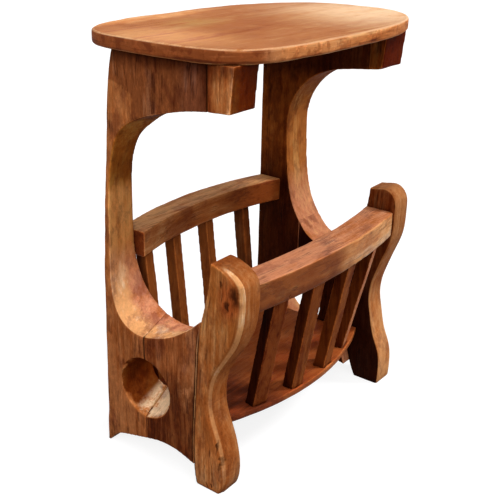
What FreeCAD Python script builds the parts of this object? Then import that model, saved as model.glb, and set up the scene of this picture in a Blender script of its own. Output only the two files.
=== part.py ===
import math
import os

import FreeCAD
import Part

# Rustic magazine table: an oval slab on two glued-up, sawn side panels, with a slatted rack between them.
# X runs along the rails, the front is -Y, Z is up, and the origin is on the floor under the middle.

doc = FreeCAD.newDocument("MagazineTable")
sheet = doc.addObject("Spreadsheet::Sheet", "Sizes")

# Driving sizes in millimetres. Depths are measured from the middle plane of the table.
SIZES = {
    # Slab
    "table_height": 600,
    "top_length": 508,
    "top_depth": 300,
    "top_thickness": 18,
    "top_edge_round": 3,
    # Side panels: outer width over both, thickness of each, and how far they reach
    "base_width": 434,
    "base_shift": -8,
    "left_panel_thickness": 48,
    "right_panel_thickness": 60,
    "panel_rear": 111,
    "wane_depth": 42,
    "left_arm_reach": 121,
    "right_arm_reach": 108,
    "arm_undercut": 5,
    "arm_height": 61,
    "arm_nose_rise": 6,
    "left_arm_block_length": 39,
    "right_arm_block_length": 26,
    "base_seam": 28,
    # Sawn C of each panel: depth of its back and height of its bottom, on the outer and inner faces
    "left_outer_back": 86,
    "left_outer_bottom": 196,
    "left_inner_back": 87,
    "left_inner_bottom": 212,
    "right_back": 59,
    "right_bottom": 229,
    # Hole low in each panel, narrowing and rising inwards on the left, and the arch under it
    "hole_height": 116,
    "left_hole_diameter": 92,
    "left_hole_narrow": 58,
    "left_hole_rise": 12,
    "right_hole_diameter": 98,
    "arch_height": 39,
    "foot_front": 101,
    # Front legs
    "leg_height": 339,
    "leg_thickness": 42,
    "leg_rear": 61,
    "leg_reach": 138,
    "leg_edge_round": 5,
    "left_leg_paring": 9,
    "right_foot_kick": 20,
    "glue_gap": 0.2,
    # Bowed rails
    "front_rail_end": 133,
    "front_rail_bow": 16,
    "front_rail_depth": 48,
    "front_rail_height": 40,
    "front_rail_bottom": 268,
    "back_rail_end": 68,
    "back_rail_bow": 24,
    "back_rail_depth": 42,
    "back_rail_height": 37,
    "back_rail_bottom": 288,
    "rail_edge_round": 2.5,
    "tenon_length": 15,
    "tenon_height": 24,
    "front_tenon_thickness": 16,
    "back_tenon_thickness": 10,
    "back_tenon_front": 94,
    # Rack floor
    "floor_top": 92,
    "floor_thickness": 12,
    "floor_front_end": 84,
    "floor_front_bow": 35,
    "floor_rear_end": 84,
    "floor_rear_bow": 20,
    "floor_housing": 5,
    "floor_chamfer": 4,
    # Slats
    "front_slat_width": 25,
    "front_slat_depth": 18,
    "front_slat_top_inset": 4,
    "front_slat_foot_inset": 4,
    "back_slat_width": 17,
    "back_slat_depth": 20,
    "back_slat_top_inset": 5,
    "back_slat_lean": 22,
    "slat_mortise": 8,
    # Dowels
    "dowel_diameter": 10,
    "dowel_length": 40,
    "top_dowel_rise": 10,
    "arm_dowel_spread": 26,
    "arm_dowel_height": 24,
    "base_dowel_low": 52,
    "base_dowel_high": 182,
    "leg_dowel_low": 70,
    "leg_dowel_high": 200,
    "upright_dowel_depth": 58,
    "arm_dowel_depth": 40,
    # Play in every mortise, bore and housing, and how far cutters run past what they cut
    "fit_clearance": 0.2,
    "cut_overrun": 10,
}

# Diagonal point of each corner of the slab's oval, as a share of its half length and half depth
FRONT_LEFT_CORNER_SHARE = 0.845
REAR_LEFT_CORNER_SHARE = 0.83
FRONT_RIGHT_CORNER_SHARE = 0.77
REAR_RIGHT_CORNER_SHARE = 0.755
TOP_OUTLINE_STEPS = 32

# Sawn C from the arm's underside round the back to the base: share of the back's depth, share of the height
LEFT_OUTER_CUT_SHARES = (
    (-0.40, 0.99), (0.07, 0.957), (0.48, 0.915), (0.72, 0.866), (0.87, 0.78), (0.965, 0.62), (1.0, 0.36),
    (0.98, 0.13), (0.84, 0.045), (0.56, 0.003), (0.12, 0.015), (-0.29, 0.062), (-0.84, 0.175),
)
LEFT_INNER_CUT_SHARES = (
    (-0.40, 0.985), (-0.10, 0.965), (0.31, 0.92), (0.59, 0.868), (0.78, 0.82), (0.92, 0.744), (1.0, 0.50),
    (0.956, 0.25), (0.835, 0.154), (0.63, 0.074), (0.42, 0.03), (0.15, 0.0), (-0.80, 0.09),
)
RIGHT_CUT_SHARES = (
    (-0.43, 0.983), (0.16, 0.94), (0.556, 0.875), (0.825, 0.80), (0.984, 0.705), (0.99, 0.55), (0.905, 0.342),
    (0.73, 0.20), (0.41, 0.09), (0.05, 0.02), (-0.40, 0.0), (-0.75, 0.01), (-1.15, 0.04),
)
# Natural rear edge of the outer face: share of the panel's height, share of the wane's depth
WANE_SHARES = ((0, 0.12), (0.29, 0.24), (0.5, 0.31), (0.69, 0.5), (0.865, 0.71), (0.945, 0.82), (1, 1))
# Arch under the panel: share of the rear depth, share of the arch's height
ARCH_SHARES = ((0.78, 0.43), (0.545, 0.64), (0.03, 1.0), (-0.27, 0.98), (-0.56, 0.74), (-0.72, 0.62))
# S-shaped leg: share of its reach in front of its rear line, share of its height
LEFT_LEG_FRONT_SHARES = (
    (0.60, 0), (0.67, 0.083), (0.61, 0.183), (0.49, 0.265), (0.36, 0.354), (0.34, 0.428), (0.43, 0.519),
    (0.64, 0.602), (0.86, 0.69), (0.97, 0.779), (1.0, 0.873), (0.94, 0.944), (0.74, 0.979), (0.364, 1),
)
RIGHT_LEG_FRONT_SHARES = (
    (0.65, 0), (0.755, 0.083), (0.78, 0.183), (0.68, 0.265), (0.62, 0.354), (0.565, 0.428), (0.58, 0.519),
    (0.69, 0.602), (0.83, 0.69), (0.96, 0.779), (0.99, 0.90), (0.95, 0.97), (0.76, 1.008), (0.50, 1.003),
    (0.364, 1),
)
# Width pared off the left leg's outer front edge at each of those points, as a share of its widest
LEFT_LEG_PARING_SHARES = (0.3, 0.5, 0.55, 0.6, 0.6, 0.6, 0.65, 0.75, 0.9, 1, 1, 0.9, 0.6, 0)
LEG_REAR_SHARES = (
    (0.065, 0), (0, 0.103), (0.013, 0.295), (0.065, 0.531), (0.117, 0.693), (0.247, 0.826), (0.364, 1),
)
# The right foot kicks forward below this share of the leg's height
FOOT_KICK_SHARE = 0.42
# Middles of the slats along each rail, as shares of its length from the left
FRONT_SLAT_PLACE_SHARES = (0.134, 0.366, 0.617, 0.847)
BACK_SLAT_PLACE_SHARES = (0.065, 0.296, 0.543, 0.795)
# Height at which the upper and lower boards of a panel are parted, as a share of the table's height
BOARD_PARTING_SHARE = 0.62

for row, (alias, value) in enumerate(SIZES.items(), start=1):
    sheet.set(f"A{row}", alias)
    sheet.set(f"B{row}", str(value))
    sheet.setAlias(f"B{row}", alias)
doc.recompute()


def size(alias):
    """A driving size read back from the sheet."""
    return float(sheet.get(alias))


def bind(target, **expressions):
    """Bind properties of an object to expressions of the sheet; a double underscore stands for a dot."""
    for name, expression in expressions.items():
        target.setExpression(name.replace("__", "."), expression)


def new_body(name):
    return doc.addObject("PartDesign::Body", name)


def new_sketch(body, name, role, offset):
    """A sketch parallel to one of the body's own planes, at an offset bound to the sheet."""
    sketch = body.newObject("Sketcher::SketchObject", name)
    plane = next(item for item in body.Origin.OriginFeatures if item.Role == role)
    sketch.AttachmentSupport = [(plane, "")]
    sketch.MapMode = "FlatFace"
    bind(sketch, AttachmentOffset__Base__z=offset)
    return sketch


def add_line(sketch, start, end):
    """A straight line between two points of a sketch."""
    sketch.addGeometry(Part.LineSegment(FreeCAD.Vector(*start, 0), FreeCAD.Vector(*end, 0)))


def add_path(sketch, *points):
    """Straight lines through points; a step of no length needs no line."""
    for start, end in zip(points, points[1:]):
        if math.dist(start, end) > 0:
            add_line(sketch, start, end)


def add_curve(sketch, points, closed=False):
    """A smooth curve through points."""
    curve = Part.BSplineCurve()
    curve.interpolate(Points=[FreeCAD.Vector(*point, 0) for point in points], PeriodicFlag=closed)
    sketch.addGeometry(curve)


def add_arc(sketch, start, middle, end):
    """A round arc through three points."""
    arc = Part.Arc(*(FreeCAD.Vector(*point, 0) for point in (start, middle, end)))
    sketch.addGeometry(arc)


def pad(body, sketch, name, length):
    feature = body.newObject("PartDesign::Pad", name)
    feature.Profile = sketch
    bind(feature, Length=length)
    doc.recompute()
    return feature


def loft_between(body, name, first, last):
    """A ruled loft from one closed sketch to another."""
    doc.recompute()
    feature = body.newObject("PartDesign::AdditiveLoft", name)
    feature.Profile = first
    feature.Sections = [last]
    feature.Ruled = True
    doc.recompute()


def pick_edges(base, chosen):
    """Names of the edges of a feature that a test picks."""
    return [f"Edge{index}" for index, edge in enumerate(base.Shape.Edges, start=1) if chosen(edge)]


def soften(body, base, name, radius, chosen):
    """Round the edges of a feature that a test picks."""
    feature = body.newObject("PartDesign::Fillet", name)
    feature.Base = (base, pick_edges(base, chosen))
    bind(feature, Radius=radius)
    doc.recompute()
    return feature


def bevel(body, base, name, width, chosen):
    """Chamfer the edges of a feature that a test picks."""
    feature = body.newObject("PartDesign::Chamfer", name)
    feature.Base = (base, pick_edges(base, chosen))
    bind(feature, Size=width)
    doc.recompute()
    return feature


def new_box(name, x, y, z, length, width, height):
    """A box whose corner and sides are all expressions of the sheet."""
    box = doc.addObject("Part::Box", name)
    bind(box, Placement__Base__x=x, Placement__Base__y=y, Placement__Base__z=z)
    bind(box, Length=length, Width=width, Height=height)
    return box


def combine(kind, name, base, tool):
    result = doc.addObject(kind, name)
    result.Base = base
    result.Tool = tool
    return result


def group(name, members):
    compound = doc.addObject("Part::Compound", name)
    compound.Links = members
    return compound


UPWARD = FreeCAD.Vector(0, 0, 1)
AXIS_TURN = {
    "X": FreeCAD.Rotation(UPWARD, FreeCAD.Vector(1, 0, 0)),
    "Y": FreeCAD.Rotation(UPWARD, FreeCAD.Vector(0, 1, 0)),
    "Z": FreeCAD.Rotation(),
}


def new_cylinder(name, axis, x, y, z, radius, height):
    """A round bar whose start, radius and length are expressions of the sheet."""
    cylinder = doc.addObject("Part::Cylinder", name)
    cylinder.Placement = FreeCAD.Placement(FreeCAD.Vector(), AXIS_TURN[axis])
    bind(cylinder, Placement__Base__x=x, Placement__Base__y=y, Placement__Base__z=z)
    bind(cylinder, Radius=radius, Height=height)
    return cylinder


dowels = {"top": [], "arm": [], "base": [], "leg": []}
cuts = {}


def cut_later(tool, *pieces):
    """Note a cutter for pieces that are finished further down."""
    for piece in pieces:
        cuts.setdefault(piece, []).append(tool)


def new_dowel(kind, axis, x, y, z, *pieces):
    """A dowel that starts at a point, with its bore in each piece that it joins."""
    number = len(dowels[kind]) + 1
    start = {"X": x, "Y": y, "Z": z}
    dowels[kind].append(new_cylinder(
        f"{kind}_dowel_{number}", axis, x, y, z, "Sizes.dowel_diameter / 2", "Sizes.dowel_length"))
    start[axis] = f"{start[axis]} - Sizes.fit_clearance"
    bore = new_cylinder(
        f"{kind}_bore_{number}", axis, *start.values(), "Sizes.dowel_diameter / 2 + Sizes.fit_clearance",
        "Sizes.dowel_length + 2 * Sizes.fit_clearance")
    cut_later(bore, *pieces)


# Heights and places that several pieces share
base_left = size("base_shift") - size("base_width") / 2
base_right = size("base_shift") + size("base_width") / 2
panel_height = size("table_height") - size("top_thickness")
arm_underside = panel_height - size("arm_height")
PANEL_HEIGHT = "(Sizes.table_height - Sizes.top_thickness)"
PARTING = f"(Sizes.table_height * {BOARD_PARTING_SHARE})"


def faces(side):
    """Where a panel's outer and inner faces lie, as expressions of the sheet."""
    outward, inward = ("-", "+") if side == "left" else ("+", "-")
    outer = f"(Sizes.base_shift {outward} Sizes.base_width / 2)"
    inner = f"({outer} {inward} Sizes.{side}_panel_thickness)"
    return outer, inner


def past_panel(side):
    """Start and length along X of a cutter that runs past both faces of a panel."""
    return f"{low_face(side)} - Sizes.cut_overrun", f"Sizes.{side}_panel_thickness + 2 * Sizes.cut_overrun"


def low_face(side):
    """The face of a panel with the smaller X."""
    outer, inner = faces(side)
    return outer if side == "left" else inner


def leg_point(side, shares):
    """A point of a leg's outline from its shares of reach and height."""
    depth = size("leg_rear") + shares[0] * (size("leg_reach") - size("leg_rear"))
    if side == "right" and shares[1] < FOOT_KICK_SHARE:
        depth += size("right_foot_kick") * (1 - shares[1] / FOOT_KICK_SHARE) ** 2
    return -depth, shares[1] * size("leg_height")


def panel_outline(sketch, arm_reach, cut_shares, back, bottom, rear_points):
    """Closed outline of one face of a side panel, before its boards are parted."""
    arm_end_top = (-arm_reach, panel_height)
    arm_end_low = (size("arm_undercut") - arm_reach, arm_underside + size("arm_nose_rise"))
    sawn = [arm_end_low]
    sawn += [(depth * back, bottom + height * (arm_underside - bottom)) for depth, height in cut_shares]
    add_curve(sketch, sawn)
    arch = [(size("foot_front"), 0)]
    arch += [(depth * size("panel_rear"), height * size("arch_height")) for depth, height in ARCH_SHARES]
    front = -size("leg_reach")
    add_path(sketch, sawn[-1], (front, sawn[-1][1]), (front, arch[-1][1]), arch[-1])
    add_curve(sketch, arch)
    add_line(sketch, arch[0], rear_points[0])
    if len(rear_points) > 2:
        add_curve(sketch, rear_points)
    else:
        add_line(sketch, *rear_points)
    add_path(sketch, rear_points[-1], arm_end_top, arm_end_low)


def straight_hole(side):
    """Cutter for a round hole straight through a panel."""
    start, length = past_panel(side)
    radius = f"Sizes.{side}_hole_diameter / 2"
    return new_cylinder(f"{side}_hole", "X", start, "Sizes.base_seam", "Sizes.hole_height", radius, length)


def tapered_hole(side):
    """Cutter for a round hole that narrows and rises from a panel's outer face to its inner face."""
    start, length = past_panel(side)
    wide = size(f"{side}_hole_diameter")
    narrow = size(f"{side}_hole_narrow")
    past_share = size("cut_overrun") / size(f"{side}_panel_thickness")
    body = new_body(f"{side}_hole")
    sections = []
    ends = (("wide", start, -past_share), ("narrow", f"{start} + {length}", 1 + past_share))
    for place, offset, way_in in ends:
        section = new_sketch(body, f"{side}_hole_{place}_end", "YZ_Plane", offset)
        height = size("hole_height") + way_in * size(f"{side}_hole_rise")
        centre = FreeCAD.Vector(size("base_seam"), height, 0)
        radius = (wide + way_in * (narrow - wide)) / 2
        section.addGeometry(Part.Circle(centre, UPWARD, radius))
        sections.append(section)
    loft_between(body, f"{side}_hole_loft", *sections)
    return body


def side_panel(side, outer_cut, inner_cut):
    """One glued-up panel: lofted from its outer face, with the natural edge, to its squarer inner face."""
    outer, inner = faces(side)
    rear = size("panel_rear")
    waney = [(rear - share * size("wane_depth"), height * panel_height) for height, share in WANE_SHARES]
    square = [(rear, 0), (rear, panel_height)]
    body = new_body(f"{side}_panel_blank")
    outer_sketch = new_sketch(body, f"{side}_outer_outline", "YZ_Plane", outer)
    panel_outline(outer_sketch, size(f"{side}_arm_reach"), *outer_cut, waney)
    inner_sketch = new_sketch(body, f"{side}_inner_outline", "YZ_Plane", inner)
    panel_outline(inner_sketch, size(f"{side}_arm_reach"), *inner_cut, square)
    loft_between(body, f"{side}_panel_loft", outer_sketch, inner_sketch)
    hole = tapered_hole(side) if side == "left" else straight_hole(side)
    return combine("Part::Cut", f"{side}_panel", body, hole)


def part_boards(side, panel):
    """Part a panel into its upright, arm block and base block along the glue lines."""
    x, width = past_panel(side)
    lower = new_box(
        f"{side}_base_region", x, "-Sizes.leg_reach - Sizes.cut_overrun", "-Sizes.cut_overrun", width,
        "Sizes.leg_reach + Sizes.cut_overrun + Sizes.base_seam", f"{PARTING} + Sizes.cut_overrun")
    upper = new_box(
        f"{side}_arm_region", x, f"-Sizes.{side}_arm_reach - Sizes.cut_overrun", PARTING, width,
        f"Sizes.{side}_arm_block_length + Sizes.cut_overrun", f"Sizes.table_height - {PARTING}")
    base = combine("Part::Common", f"{side}_base_board", panel, lower)
    arm = combine("Part::Common", f"{side}_arm_board", panel, upper)
    upright = combine("Part::Cut", f"{side}_upright_board", panel, group(f"{side}_regions", [lower, upper]))
    return upright, arm, base


def pared_outline(points, widths):
    """A leg's front outline moved in square to itself by a width at each point; the foot stays level."""
    moved = [(points[0][0] + widths[0], points[0][1])]
    for before, point, after, width in zip(points, points[1:], points[2:], widths[1:]):
        run = math.dist(before, after)
        inward = (after[1] - before[1]) / run
        downward = (after[0] - before[0]) / run
        moved.append((point[0] + inward * width, point[1] - downward * width))
    return moved + [points[-1]]


def leg_outline(body, name, offset, front, rear):
    """Closed outline of a leg from the points of its front and rear edges."""
    sketch = new_sketch(body, name, "YZ_Plane", offset)
    add_curve(sketch, front)
    add_curve(sketch, rear)
    add_line(sketch, front[0], rear[0])
    doc.recompute()
    return sketch


def front_leg(side):
    """An S-shaped leg whose rear edge is butted to the base block; the left one has a pared outer edge."""
    outer = faces(side)[0]
    rear = [leg_point(side, shares) for shares in LEG_REAR_SHARES]
    body = new_body(f"{side}_leg_blank")
    if side == "left":
        front = [leg_point(side, shares) for shares in LEFT_LEG_FRONT_SHARES]
        widths = [share * size("left_leg_paring") for share in LEFT_LEG_PARING_SHARES]
        pared = leg_outline(body, f"{side}_leg_pared_outline", outer, pared_outline(front, widths), rear)
        full = leg_outline(body, f"{side}_leg_outline", f"{outer} + Sizes.left_leg_paring", front, rear)
        loft_between(body, f"{side}_leg_pared_edge", pared, full)
        blank = pad(body, full, f"{side}_leg_pad", "Sizes.leg_thickness - Sizes.left_leg_paring")
    else:
        front = [leg_point(side, shares) for shares in RIGHT_LEG_FRONT_SHARES]
        full = leg_outline(body, f"{side}_leg_outline", f"{outer} - Sizes.leg_thickness", front, rear)
        blank = pad(body, full, f"{side}_leg_pad", "Sizes.leg_thickness")
    middle = -(size("leg_rear") + size("leg_reach")) / 2

    def is_front_edge(edge):
        flat = edge.BoundBox.XLength < size("fit_clearance")
        tall = edge.BoundBox.ZLength > size("leg_height") / 2
        inward = edge.BoundBox.XMin > base_left + size("leg_thickness") / 2
        return flat and tall and inward and edge.BoundBox.YMin < middle - size("leg_edge_round")

    soften(body, blank, f"{side}_leg_edges", "Sizes.leg_edge_round", is_front_edge)
    cutter = new_body(f"{side}_leg_seam")
    cutter_start, cutter_length = past_panel(side)
    profile = new_sketch(cutter, f"{side}_seam_outline", "YZ_Plane", cutter_start)
    shifted = [(depth + size("glue_gap"), height) for depth, height in rear]
    beyond = -size("leg_reach") - size("cut_overrun")
    add_curve(profile, shifted)
    add_path(profile, shifted[-1], (beyond, shifted[-1][1]), (beyond, shifted[0][1]), shifted[0])
    doc.recompute()
    pad(cutter, profile, f"{side}_seam_pad", cutter_length)
    cut_later(cutter, f"{side}_base_block")
    return body


def bow_radius(bow, left, right):
    """Radius of a shallow arc that rises by its bow between two ends."""
    half = (right - left) / 2
    return (half * half + bow * bow) / (2 * bow)


def bowed(end, bow, x, left, right):
    """Depth at x of a shallow arc that reaches end at both ends and end plus bow in the middle."""
    radius = bow_radius(bow, left, right)
    return end + math.sqrt(radius * radius - (x - (left + right) / 2) ** 2) - (radius - bow)


def bowed_rail(name, left, right, front_end, rear_end, bow, bottom, height):
    """A rail of even depth whose two long sides are parallel arcs."""
    body = new_body(f"{name}_blank")
    sketch = new_sketch(body, f"{name}_plan", "XY_Plane", bottom)
    middle = (left + right) / 2
    add_arc(sketch, (left, front_end), (middle, front_end + bow), (right, front_end))
    add_arc(sketch, (left, rear_end), (middle, rear_end + bow), (right, rear_end))
    add_line(sketch, (left, front_end), (left, rear_end))
    add_line(sketch, (right, front_end), (right, rear_end))
    doc.recompute()
    blank = pad(body, sketch, f"{name}_pad", height)
    soften(body, blank, f"{name}_edges", "Sizes.rail_edge_round",
           lambda edge: edge.BoundBox.XLength > (right - left) / 2)
    return body


def tenons(rail, left_face, right_face, y, thickness, rail_bottom, rail_height, left_piece, right_piece):
    """Stub tenons on both ends of a rail, and their mortises in the pieces that take them."""
    z = f"{rail_bottom} + ({rail_height} - Sizes.tenon_height) / 2"
    made = []
    for side, face, piece in (("left", left_face, left_piece), ("right", right_face, right_piece)):
        x = f"{face} - Sizes.tenon_length" if side == "left" else face
        made.append(new_box(
            f"{rail}_{side}_tenon", x, y, z, "Sizes.tenon_length", thickness, "Sizes.tenon_height"))
        deep = f"{x} - Sizes.fit_clearance" if side == "left" else x
        cut_later(new_box(
            f"{rail}_{side}_mortise", deep, f"{y} - Sizes.fit_clearance", f"{z} - Sizes.fit_clearance",
            "Sizes.tenon_length + Sizes.fit_clearance", f"{thickness} + 2 * Sizes.fit_clearance",
            "Sizes.tenon_height + 2 * Sizes.fit_clearance"), piece)
    return made


def slat(name, x, head, turn, width, depth, lean, low, high, play):
    """A leaning slat, cut level at both ends and turned with the bow; play makes the matching mortises."""
    body = new_body(name)
    body.Placement = FreeCAD.Placement(FreeCAD.Vector(0, head, 0), FreeCAD.Rotation(UPWARD, turn))
    bind(body, Placement__Base__x=x)
    sketch = new_sketch(body, f"{name}_side", "YZ_Plane", f"-{width} / 2 - {play}")
    grow = size("fit_clearance") if play != "0" else 0
    foot = -lean
    add_path(
        sketch, (foot - grow, low - grow), (foot + depth + grow, low - grow), (depth + grow, high + grow),
        (-grow, high + grow), (foot - grow, low - grow))
    doc.recompute()
    pad(body, sketch, f"{name}_pad", f"{width} + 2 * {play}")
    return body


nodes = {}


def finish(node, blank):
    """Cut the noted bores, mortises and housings out of a piece and keep it as a node."""
    if node in cuts:
        blank = combine("Part::Cut", f"{node}_cut", blank, group(f"{node}_cutters", cuts[node]))
    blank.Label = node
    nodes[node] = blank


# Slab: an oval that is squarer at its left end than at its right
top_body = new_body("top_blank")
top_sketch = new_sketch(top_body, "top_plan", "XY_Plane", PANEL_HEIGHT)
oval = []
for step in range(TOP_OUTLINE_STEPS):
    angle = 2 * math.pi * step / TOP_OUTLINE_STEPS
    if math.cos(angle) > 0:
        corner_share = REAR_RIGHT_CORNER_SHARE if math.sin(angle) > 0 else FRONT_RIGHT_CORNER_SHARE
    else:
        corner_share = REAR_LEFT_CORNER_SHARE if math.sin(angle) > 0 else FRONT_LEFT_CORNER_SHARE
    power = 2 * math.log(corner_share) / math.log(0.5)
    along = math.copysign(abs(math.cos(angle)) ** power, math.cos(angle))
    across = math.copysign(abs(math.sin(angle)) ** power, math.sin(angle))
    oval.append((along * size("top_length") / 2, across * size("top_depth") / 2))
add_curve(top_sketch, oval, closed=True)
doc.recompute()
top_pad = pad(top_body, top_sketch, "top_pad", "Sizes.top_thickness")
soften(top_body, top_pad, "top_edges", "Sizes.top_edge_round",
       lambda edge: edge.BoundBox.ZLength < size("fit_clearance"))

# Side panels, their boards and front legs
left_outer_cut = (LEFT_OUTER_CUT_SHARES, size("left_outer_back"), size("left_outer_bottom"))
left_inner_cut = (LEFT_INNER_CUT_SHARES, size("left_inner_back"), size("left_inner_bottom"))
right_cut = (RIGHT_CUT_SHARES, size("right_back"), size("right_bottom"))
panels = {
    "left": side_panel("left", left_outer_cut, left_inner_cut),
    "right": side_panel("right", right_cut, right_cut),
}
boards = {side: part_boards(side, panel) for side, panel in panels.items()}
legs = {side: front_leg(side) for side in panels}

# Dowels that hold the boards of each panel, its leg and the slab together
for side in panels:
    outer, inner = faces(side)
    middle = f"(({outer} + {inner}) / 2)"
    leg_middle = f"({outer} {'+' if side == 'left' else '-'} Sizes.leg_thickness / 2)"
    upright = f"{side}_upright"
    arm = f"{side}_arm_block"
    base = f"{side}_base_block"
    leg = f"{side}_front_leg"
    top_start = f"{PANEL_HEIGHT} + Sizes.top_dowel_rise - Sizes.dowel_length"
    half_length = "Sizes.dowel_length / 2"
    new_dowel("top", "Z", middle, "Sizes.upright_dowel_depth", top_start, "table_top", upright)
    new_dowel("top", "Z", middle, "-Sizes.arm_dowel_depth", top_start, "table_top", upright)
    arm_seam = f"-Sizes.{side}_arm_reach + Sizes.{side}_arm_block_length"
    arm_middle = f"{arm_seam} - Sizes.{side}_arm_block_length / 2"
    new_dowel("top", "Z", middle, arm_middle, top_start, "table_top", arm)
    for sign in "+-":
        x = f"{middle} {sign} Sizes.arm_dowel_spread / 2"
        z = f"{PANEL_HEIGHT} - Sizes.arm_height + Sizes.arm_dowel_height"
        new_dowel("arm", "Y", x, f"{arm_seam} - {half_length}", z, arm, upright)
    for height in ("low", "high"):
        base_z = f"Sizes.base_dowel_{height}"
        new_dowel("base", "Y", middle, f"Sizes.base_seam - {half_length}", base_z, base, upright)
        leg_z = f"Sizes.leg_dowel_{height}"
        new_dowel("leg", "Y", leg_middle, f"-Sizes.leg_rear - {half_length}", leg_z, leg, base)

# Front rail between the legs and back rail between the uprights
left_leg_face = base_left + size("leg_thickness")
right_leg_face = base_right - size("leg_thickness")
LEFT_LEG_FACE = f"({faces('left')[0]} + Sizes.leg_thickness)"
RIGHT_LEG_FACE = f"({faces('right')[0]} - Sizes.leg_thickness)"
left_face = base_left + size("left_panel_thickness")
right_face = base_right - size("right_panel_thickness")
front_rail = bowed_rail(
    "front_rail", left_leg_face, right_leg_face, -size("front_rail_end"),
    size("front_rail_depth") - size("front_rail_end"), -size("front_rail_bow"),
    "Sizes.front_rail_bottom", "Sizes.front_rail_height")
back_rail = bowed_rail(
    "back_rail", left_face, right_face, size("back_rail_end"),
    size("back_rail_end") + size("back_rail_depth"), size("back_rail_bow"),
    "Sizes.back_rail_bottom", "Sizes.back_rail_height")
front_tenons = tenons(
    "front_rail", LEFT_LEG_FACE, RIGHT_LEG_FACE,
    "-Sizes.front_rail_end + (Sizes.front_rail_depth - Sizes.front_tenon_thickness) / 2",
    "Sizes.front_tenon_thickness", "Sizes.front_rail_bottom", "Sizes.front_rail_height",
    "left_front_leg", "right_front_leg")
back_tenons = tenons(
    "back_rail", faces("left")[1], faces("right")[1], "Sizes.back_tenon_front",
    "Sizes.back_tenon_thickness", "Sizes.back_rail_bottom", "Sizes.back_rail_height",
    "left_upright", "right_upright")

# Rack floor: a board bowed at the front and back, housed in both panels and notched round the legs
floor_body = new_body("floor_blank")
floor_plan = new_sketch(floor_body, "floor_plan", "XY_Plane", "Sizes.floor_top - Sizes.floor_thickness")
floor_left = left_face - size("floor_housing")
floor_right = right_face + size("floor_housing")
notch_rear = -size("leg_rear") + size("leg_edge_round")
front_y = -size("floor_front_end")
rear_y = size("floor_rear_end")
middle_x = (floor_left + floor_right) / 2
front_middle = (size("base_shift"), front_y - size("floor_front_bow"))
add_arc(floor_plan, (left_leg_face, front_y), front_middle, (right_leg_face, front_y))
add_arc(floor_plan, (floor_left, rear_y), (middle_x, rear_y + size("floor_rear_bow")), (floor_right, rear_y))
for leg_face, end in ((left_leg_face, floor_left), (right_leg_face, floor_right)):
    add_path(floor_plan, (leg_face, front_y), (leg_face, notch_rear), (end, notch_rear), (end, rear_y))
doc.recompute()
floor_pad = pad(floor_body, floor_plan, "floor_pad", "Sizes.floor_thickness")
floor_middle_height = size("floor_top") - size("floor_thickness") / 2


def is_lower_front_edge(edge):
    """Tells the long lower edge along the front of the floor."""
    box = edge.BoundBox
    return box.XLength > size("base_width") / 2 and box.YMax < 0 and box.ZMax < floor_middle_height


bevel(floor_body, floor_pad, "floor_lower_edge", "Sizes.floor_chamfer", is_lower_front_edge)
for side in panels:
    housing_x = f"{faces(side)[1]} - Sizes.floor_housing - Sizes.fit_clearance"
    if side == "right":
        housing_x = f"{faces(side)[1]} - Sizes.cut_overrun"
    cut_later(new_box(
        f"{side}_floor_housing", housing_x, "-Sizes.leg_rear - Sizes.cut_overrun",
        "Sizes.floor_top - Sizes.floor_thickness - Sizes.fit_clearance",
        "Sizes.floor_housing + Sizes.fit_clearance + Sizes.cut_overrun",
        "Sizes.leg_rear + Sizes.cut_overrun + Sizes.floor_rear_end + Sizes.fit_clearance",
        "Sizes.floor_thickness + 2 * Sizes.fit_clearance"), f"{side}_base_block", f"{side}_upright")

# Slats: tops in the rails, feet in the floor; the front ones are turned with the floor's bowed edge
slat_rows = {
    "front": (FRONT_SLAT_PLACE_SHARES, left_leg_face, right_leg_face, LEFT_LEG_FACE, RIGHT_LEG_FACE),
    "back": (BACK_SLAT_PLACE_SHARES, left_face, right_face, faces("left")[1], faces("right")[1]),
}
slats = {}
for row, (place_shares, left, right, left_expression, right_expression) in slat_rows.items():
    width = f"Sizes.{row}_slat_width"
    head_height = size(f"{row}_rail_bottom")
    for number, place_share in enumerate(place_shares, start=1):
        x = left + place_share * (right - left)
        x_expression = f"({left_expression} + {place_share} * ({right_expression} - {left_expression}))"
        if row == "front":
            rail_front = -bowed(size("front_rail_end"), size("front_rail_bow"), x, left, right)
            floor_front = -bowed(size("floor_front_end"), size("floor_front_bow"), x, left, right)
            head = rail_front + size("front_slat_top_inset")
            lean = head - (floor_front + size("front_slat_foot_inset"))
            radius = bow_radius(size("floor_front_bow"), left, right)
            turn = math.degrees(math.asin((x - (left + right) / 2) / radius))
        else:
            rail_front = bowed(size("back_rail_end"), size("back_rail_bow"), x, left, right)
            head = rail_front + size("back_slat_top_inset")
            lean = size("back_slat_lean")
            turn = 0
        shift = lean / (head_height - size("floor_top")) * size("slat_mortise")
        low = size("floor_top") - size("slat_mortise")
        high = head_height + size("slat_mortise")
        section = (width, size(f"{row}_slat_depth"), lean + 2 * shift, low, high)
        name = f"{row}_slat_{number}"
        slats[name] = slat(f"{name}_blank", x_expression, head + shift, turn, *section, "0")
        cut_later(slat(f"{name}_mortises", x_expression, head + shift, turn, *section, "Sizes.fit_clearance"),
                  f"{row}_rail", "rack_floor")

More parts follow.
